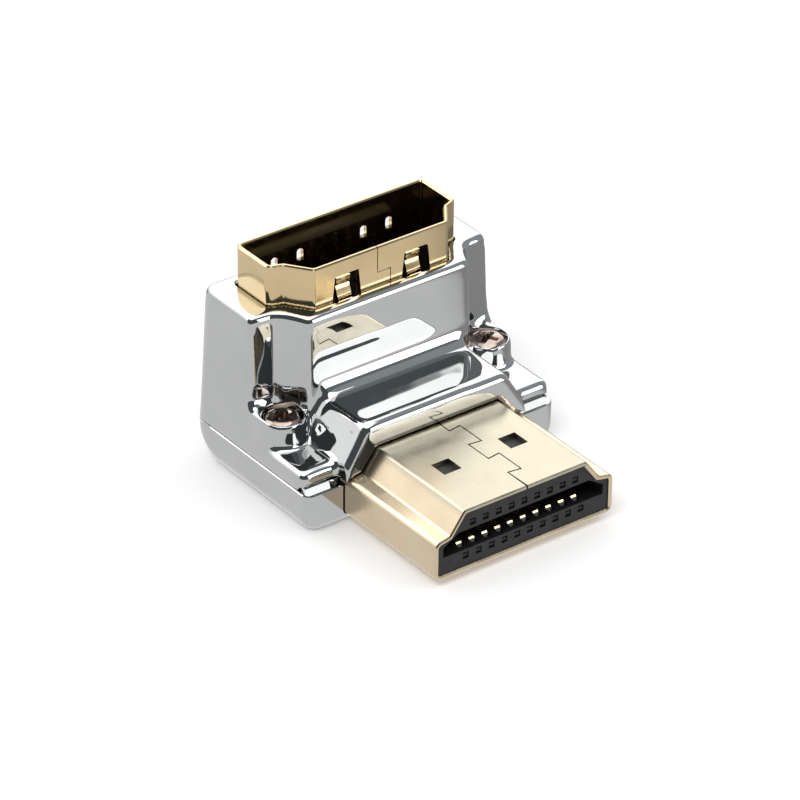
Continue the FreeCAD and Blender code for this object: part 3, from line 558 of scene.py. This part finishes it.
def build_screws():
    """Both screws as one piece."""
    shape = bmesh.new()
    add_screw(shape, SCREW_OFFSET, math.radians(RIGHT_SCREW_TURN))
    add_screw(shape, -SCREW_OFFSET, math.radians(LEFT_SCREW_TURN))
    bmesh.ops.recalc_face_normals(shape, faces=shape.faces)
    shaded(shape, SCREW_CREASE)
    piece = add_piece("domed_screws", shape, "screw_steel")
    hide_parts("housing_screws")


def facing(azimuth, elevation):
    """The direction from the part to a place round it, given in degrees."""
    turn, lift = math.radians(azimuth), math.radians(elevation)
    return Vector((math.sin(turn) * math.cos(lift), -math.cos(turn) * math.cos(lift), math.sin(lift)))


def build_camera():
    """The camera of the photograph, with its small roll and its shifted aim."""
    back = facing(CAMERA_AZIMUTH, CAMERA_ELEVATION)
    right = Vector((0.0, 0.0, 1.0)).cross(back).normalized()
    up = back.cross(right)
    side = math.cos(CAMERA_ROLL) * right + math.sin(CAMERA_ROLL) * up
    rise = -math.sin(CAMERA_ROLL) * right + math.cos(CAMERA_ROLL) * up
    data = bpy.data.cameras.new("camera")
    data.lens = CAMERA_LENS
    data.sensor_width = 36.0
    data.clip_start = 0.01
    data.clip_end = 20.0
    camera = bpy.data.objects.new("camera", data)
    place = CAMERA_AIM - CAMERA_SIDE * side - CAMERA_RISE * rise + CAMERA_DISTANCE * back
    turn = Matrix((side, rise, back)).transposed().to_4x4()
    camera.matrix_world = Matrix.Translation(place) @ turn
    scene.collection.objects.link(camera)
    scene.camera = camera


def add_stage_piece(name, shape, material):
    """A piece of the stage, which is no piece of the part."""
    piece = bpy.data.objects.new(name, meshed(name, shape))
    piece.data.materials.append(material)
    scene.collection.objects.link(piece)
    return piece


def build_table():
    """A plain white table with no shine."""
    material, _, shader = new_finish("white_table")
    shader.inputs["Base Color"].default_value = (0.95, 0.95, 0.95, 1.0)
    shader.inputs["Roughness"].default_value = 0.9
    shader.inputs["Specular IOR Level"].default_value = 0.0
    shape = bmesh.new()
    bmesh.ops.create_circle(shape, cap_ends=True, segments=64, radius=TABLE_RADIUS)
    add_stage_piece("table", shape, material)


def add_background(tree, strength):
    """White surroundings of one strength."""
    plain = tree.nodes.new("ShaderNodeBackground")
    plain.inputs["Color"].default_value = (1.0, 1.0, 1.0, 1.0)
    plain.inputs["Strength"].default_value = strength
    return plain


def build_world():
    """The surroundings, at one strength for what is seen and at another for the light they cast."""
    world = bpy.data.worlds.new("studio")
    scene.world = world
    world.use_nodes = True
    tree = world.node_tree
    tree.nodes.clear()
    output = tree.nodes.new("ShaderNodeOutputWorld")
    path = tree.nodes.new("ShaderNodeLightPath")
    direct = calculated(tree, "MAXIMUM", path, "Is Camera Ray")
    link(tree, path, "Is Glossy Ray", direct, 1)
    seen = calculated(tree, "MAXIMUM", direct, "Value")
    link(tree, path, "Is Transmission Ray", seen, 1)
    mixed = tree.nodes.new("ShaderNodeMixShader")
    link(tree, seen, "Value", mixed, "Fac")
    link(tree, add_background(tree, WORLD_CAST), "Background", mixed, 1)
    link(tree, add_background(tree, WORLD_SEEN), "Background", mixed, 2)
    link(tree, mixed, "Shader", output, "Surface")


def new_glow(name):
    """A new material that only glows, its node tree and its emission."""
    material = bpy.data.materials.new(name)
    material.use_nodes = True
    tree = material.node_tree
    tree.nodes.clear()
    output = tree.nodes.new("ShaderNodeOutputMaterial")
    glow = tree.nodes.new("ShaderNodeEmission")
    link(tree, glow, "Emission", output, "Surface")
    return material, tree, glow


def add_reflected(name, shape, material):
    """A piece of the stage that is seen only in reflections."""
    piece = add_stage_piece(name, shape, material)
    for ray in ("camera", "diffuse", "transmission", "volume_scatter", "shadow"):
        setattr(piece, "visible_" + ray, False)


def build_card(name, azimuths, elevations, colour, distance):
    """A curved card between two azimuths and two elevations."""
    material, _, glow = new_glow(name)
    glow.inputs["Color"].default_value = (*colour, 1.0)
    shape = bmesh.new()
    bmesh.ops.create_grid(shape, x_segments=12, y_segments=8, size=0.5)
    for vert in shape.verts:
        azimuth = azimuths[0] + (vert.co.x + 0.5) * (azimuths[1] - azimuths[0])
        elevation = elevations[0] + (vert.co.y + 0.5) * (elevations[1] - elevations[0])
        vert.co = facing(azimuth, elevation) * distance
    add_reflected(name, shape, material)


def build_cards():
    """The dark side of the studio round the camera, and the soft boxes that break it."""
    for name, azimuths, elevations, colour in CARDS:
        build_card(name, azimuths, elevations, colour, CARD_DISTANCE)
    for name, azimuths, elevations, level in SOFT_BOXES:
        build_card(name, azimuths, elevations, (level, level, level), SOFT_BOX_DISTANCE)


def build_floor_glow():
    """A glowing sheet just over the table, seen only in reflections as a painted floor reflection,
    dimmer to the right behind the plug.
    """
    material, tree, glow = new_glow("floor_glow")
    # The glow is a painted reflection of the floor, bright to the left and dimmer to the right.
    fade = ranged(tree, axes(tree, turn=FLAG_TURN), "X", *FLAG_FADE, *FLAG_LEVELS)
    fade.interpolation_type = "SMOOTHSTEP"
    link(tree, fade, "Result", glow, "Strength")
    shape = bmesh.new()
    bmesh.ops.create_circle(shape, cap_ends=True, segments=48, radius=FLAG_RADIUS)
    bmesh.ops.translate(shape, verts=shape.verts, vec=(0.0, 0.0, FLAG_HEIGHT))
    add_reflected("floor_glow", shape, material)


def build_lamp(name, azimuth, elevation, distance, size, power):
    """A flat lamp that faces the part and isn't seen in reflections."""
    data = bpy.data.lights.new(name, "AREA")
    data.shape = "RECTANGLE"
    data.size, data.size_y = size
    data.energy = power
    lamp = bpy.data.objects.new(name, data)
    back = facing(azimuth, elevation)
    lamp.location = back * distance
    lamp.rotation_euler = back.to_track_quat("Z", "Y").to_euler()
    lamp.visible_glossy = False
    scene.collection.objects.link(lamp)


def build_lamps():
    """A main lamp from the left and a weaker one from the right."""
    build_lamp("key_lamp", azimuth=-70, elevation=55, distance=0.6, size=(0.35, 0.25), power=1.1)
    build_lamp("fill_lamp", azimuth=60, elevation=40, distance=0.7, size=(0.4, 0.3), power=0.5)


scene.view_settings.view_transform = "Standard"
finish_nodes()
build_cover()
polished(add_skin("lower_shell"))
build_plug()
build_socket()
build_screws()
build_camera()
build_table()
build_world()
build_cards()
build_floor_glow()
build_lamps()
